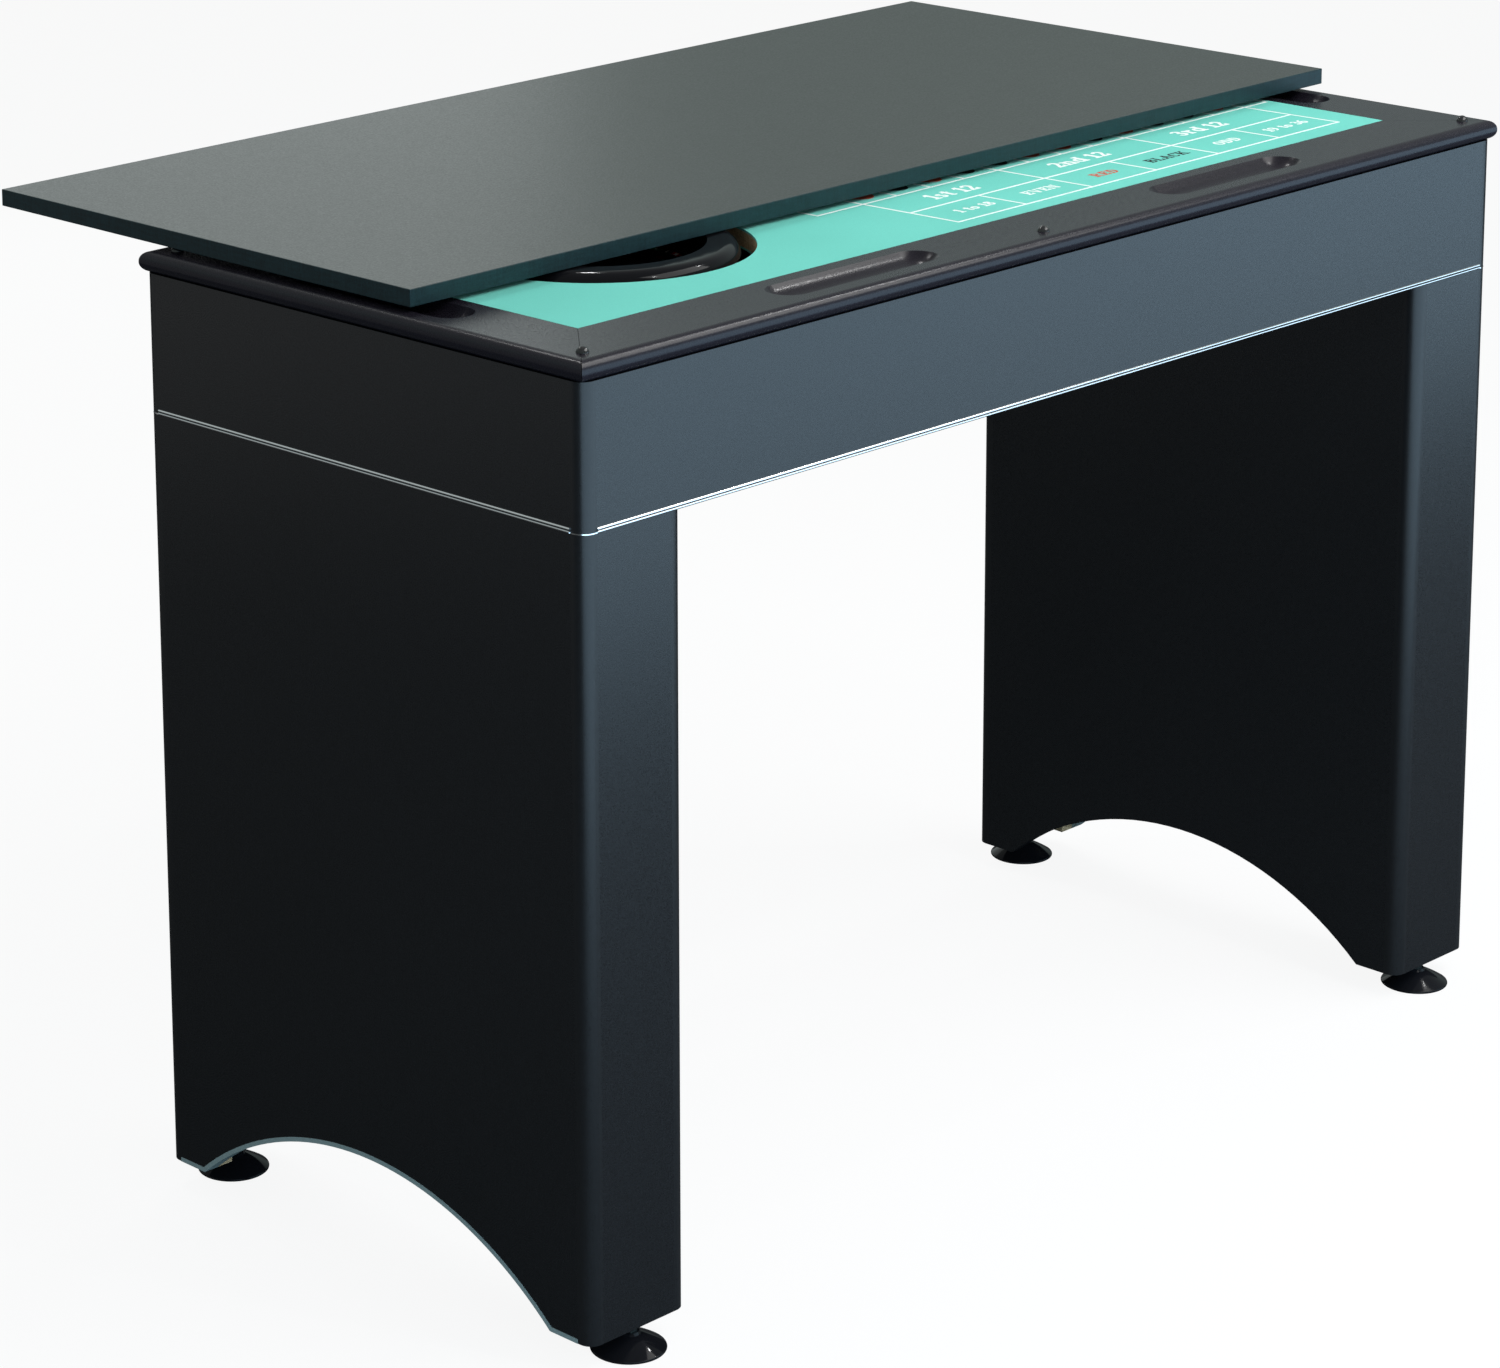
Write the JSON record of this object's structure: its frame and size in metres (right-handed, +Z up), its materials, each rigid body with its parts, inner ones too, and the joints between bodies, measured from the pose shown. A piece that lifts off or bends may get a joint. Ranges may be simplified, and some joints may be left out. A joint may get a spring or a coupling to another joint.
{
  "type": "casino games table",
  "caption": "Casino games table: roulette layout and sunken wheel in a rail with chip grooves, arched box legs, screw levelling feet and a loose dining top slid back off the board.",
  "frame": {"origin": "on the floor, at the centre of the four levelling feet, under the middle of the playing board", "axes": "+X along the table to the players' right, +Y away from the long side the layout is read from, +Z up"},
  "size_m": [1.2266, 0.7532, 0.875],
  "materials": {
    "rail_laminate": "satin black laminate on fibreboard",
    "panel_laminate": "fine pebbled blue-black laminate on fibreboard",
    "corner_moulding": "fine pebbled blue-black",
    "top_laminate": "satin black laminate on fibreboard",
    "top_edging": "satin edge band",
    "raw_board": "raw fibreboard and softwood",
    "green_felt": "printed baize",
    "chrome_trim": "polished",
    "grey_edge_band": "satin",
    "black_rubber": "smooth",
    "zinc_steel": "zinc plated",
    "black_steel": "black zinc plated",
    "black_gloss_plastic": "gloss",
    "wheel_chrome": "polished",
    "bronze_bush": "turned"
  },
  "bodies": {
    "table": {"apron_back": "panel_laminate", "apron_corner_mouldings": "corner_moulding", "apron_front": "panel_laminate", "apron_left": "panel_laminate", "apron_right": "panel_laminate", "board_cleats": "raw_board", "bottom_panel": "raw_board", "cleat_screws": "zinc_steel", "corner_braces": "raw_board", "foot_blocks": "raw_board", "foot_inserts": "zinc_steel", "leg_bolts": "zinc_steel", "leg_left_back_board": "panel_laminate", "leg_left_corner_mouldings": "corner_moulding", "leg_left_edge_band": "grey_edge_band", "leg_left_front_board": "panel_laminate", "leg_left_inner_panel": "panel_laminate", "leg_left_outer_panel": "panel_laminate", "leg_left_top_plate": "raw_board", "leg_nuts": "zinc_steel", "leg_right_back_board": "panel_laminate", "leg_right_corner_mouldings": "corner_moulding", "leg_right_edge_band": "grey_edge_band", "leg_right_front_board": "panel_laminate", "leg_right_inner_panel": "panel_laminate", "leg_right_outer_panel": "panel_laminate", "leg_right_top_plate": "raw_board", "playing_board": "raw_board", "rail_back": "rail_laminate", "rail_bumpers": "black_rubber", "rail_front": "rail_laminate", "rail_left": "rail_laminate", "rail_right": "rail_laminate", "reverse_felt": "green_felt", "roulette_felt": "green_felt", "trim_back": "chrome_trim", "trim_corner_links": "chrome_trim", "trim_front": "chrome_trim", "trim_left": "chrome_trim", "trim_right": "chrome_trim", "wheel_bowl": "black_gloss_plastic", "wheel_shelf": "raw_board", "wheel_shelf_risers": "raw_board", "wheel_spindle": "zinc_steel"},
    "dining_top": {"dining_top_board": "top_laminate", "dining_top_edging": "top_edging"},
    "rotor": {"wheel_rotor": "black_gloss_plastic", "wheel_pocket_ring": "wheel_chrome", "wheel_cone": "black_gloss_plastic", "wheel_turret": "wheel_chrome", "wheel_bush": "bronze_bush"},
    "pad_front_left": {"foot_pad_front_left": "black_gloss_plastic"},
    "screw_front_left": {"foot_stem_front_left": "black_steel"},
    "pad_front_right": {"foot_pad_front_right": "black_gloss_plastic"},
    "screw_front_right": {"foot_stem_front_right": "black_steel"},
    "pad_back_left": {"foot_pad_back_left": "black_gloss_plastic"},
    "screw_back_left": {"foot_stem_back_left": "black_steel"},
    "pad_back_right": {"foot_pad_back_right": "black_gloss_plastic"},
    "screw_back_right": {"foot_stem_back_right": "black_steel"}
  },
  "joints": [
    {"name": "dining_top_slide", "type": "slide", "parent": "table", "child": "dining_top", "axis": [0.0507, 0.9987, 0], "range_m": [-0.20697, 0.05]},
    {"name": "wheel_spin", "type": "hinge", "parent": "table", "child": "rotor", "pos_m": [-0.325, 0, 0.825], "axis": [0, 0, 1], "continuous": true},
    {"name": "foot_front_left_travel", "type": "slide", "parent": "table", "child": "pad_front_left", "axis": [0, 0, -1], "range_m": [0, 0.0152]},
    {"name": "foot_front_left_turn", "type": "hinge", "parent": "pad_front_left", "child": "screw_front_left", "pos_m": [-0.547, -0.249, 0.02], "axis": [0, 0, -1], "range_deg": [0, 4320]},
    {"name": "foot_front_right_travel", "type": "slide", "parent": "table", "child": "pad_front_right", "axis": [0, 0, -1], "range_m": [0, 0.0152]},
    {"name": "foot_front_right_turn", "type": "hinge", "parent": "pad_front_right", "child": "screw_front_right", "pos_m": [0.547, -0.249, 0.02], "axis": [0, 0, -1], "range_deg": [0, 4320]},
    {"name": "foot_back_left_travel", "type": "slide", "parent": "table", "child": "pad_back_left", "axis": [0, 0, -1], "range_m": [0, 0.0152]},
    {"name": "foot_back_left_turn", "type": "hinge", "parent": "pad_back_left", "child": "screw_back_left", "pos_m": [-0.547, 0.249, 0.02], "axis": [0, 0, -1], "range_deg": [0, 4320]},
    {"name": "foot_back_right_travel", "type": "slide", "parent": "table", "child": "pad_back_right", "axis": [0, 0, -1], "range_m": [0, 0.0152]},
    {"name": "foot_back_right_turn", "type": "hinge", "parent": "pad_back_right", "child": "screw_back_right", "pos_m": [0.547, 0.249, 0.02], "axis": [0, 0, -1], "range_deg": [0, 4320]}
  ],
  "couplings": [
    {"joint": "foot_front_left_travel", "follows": "foot_front_left_turn", "m_per_rad": 0.00019894},
    {"joint": "foot_front_right_travel", "follows": "foot_front_right_turn", "m_per_rad": 0.00019894},
    {"joint": "foot_back_left_travel", "follows": "foot_back_left_turn", "m_per_rad": 0.00019894},
    {"joint": "foot_back_right_travel", "follows": "foot_back_right_turn", "m_per_rad": 0.00019894}
  ]
}
